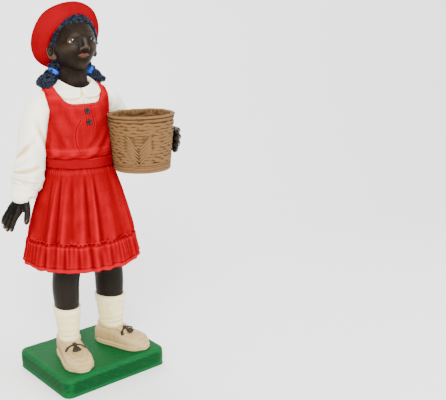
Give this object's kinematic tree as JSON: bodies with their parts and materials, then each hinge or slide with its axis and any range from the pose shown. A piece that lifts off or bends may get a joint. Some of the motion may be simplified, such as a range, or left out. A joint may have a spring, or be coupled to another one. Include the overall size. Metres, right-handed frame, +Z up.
{
  "type": "girl statue",
  "caption": "Painted cast statue of a girl in a red pinafore dress and beret, holding a round basket, on a low green base.",
  "frame": {"origin": "centre of the underside of the base", "axes": "+Z up along the figure, -Y towards the long front edge of the base, -X to the figure's right"},
  "size_m": [0.5476, 0.4268, 1.2033],
  "materials": {
    "figure_paint": "satin",
    "basket_paint": "matte",
    "base_paint": "satin"
  },
  "bodies": {
    "root": {"girl_figure": "figure_paint", "basket": "basket_paint", "base": "base_paint"}
  },
  "joints": []
}
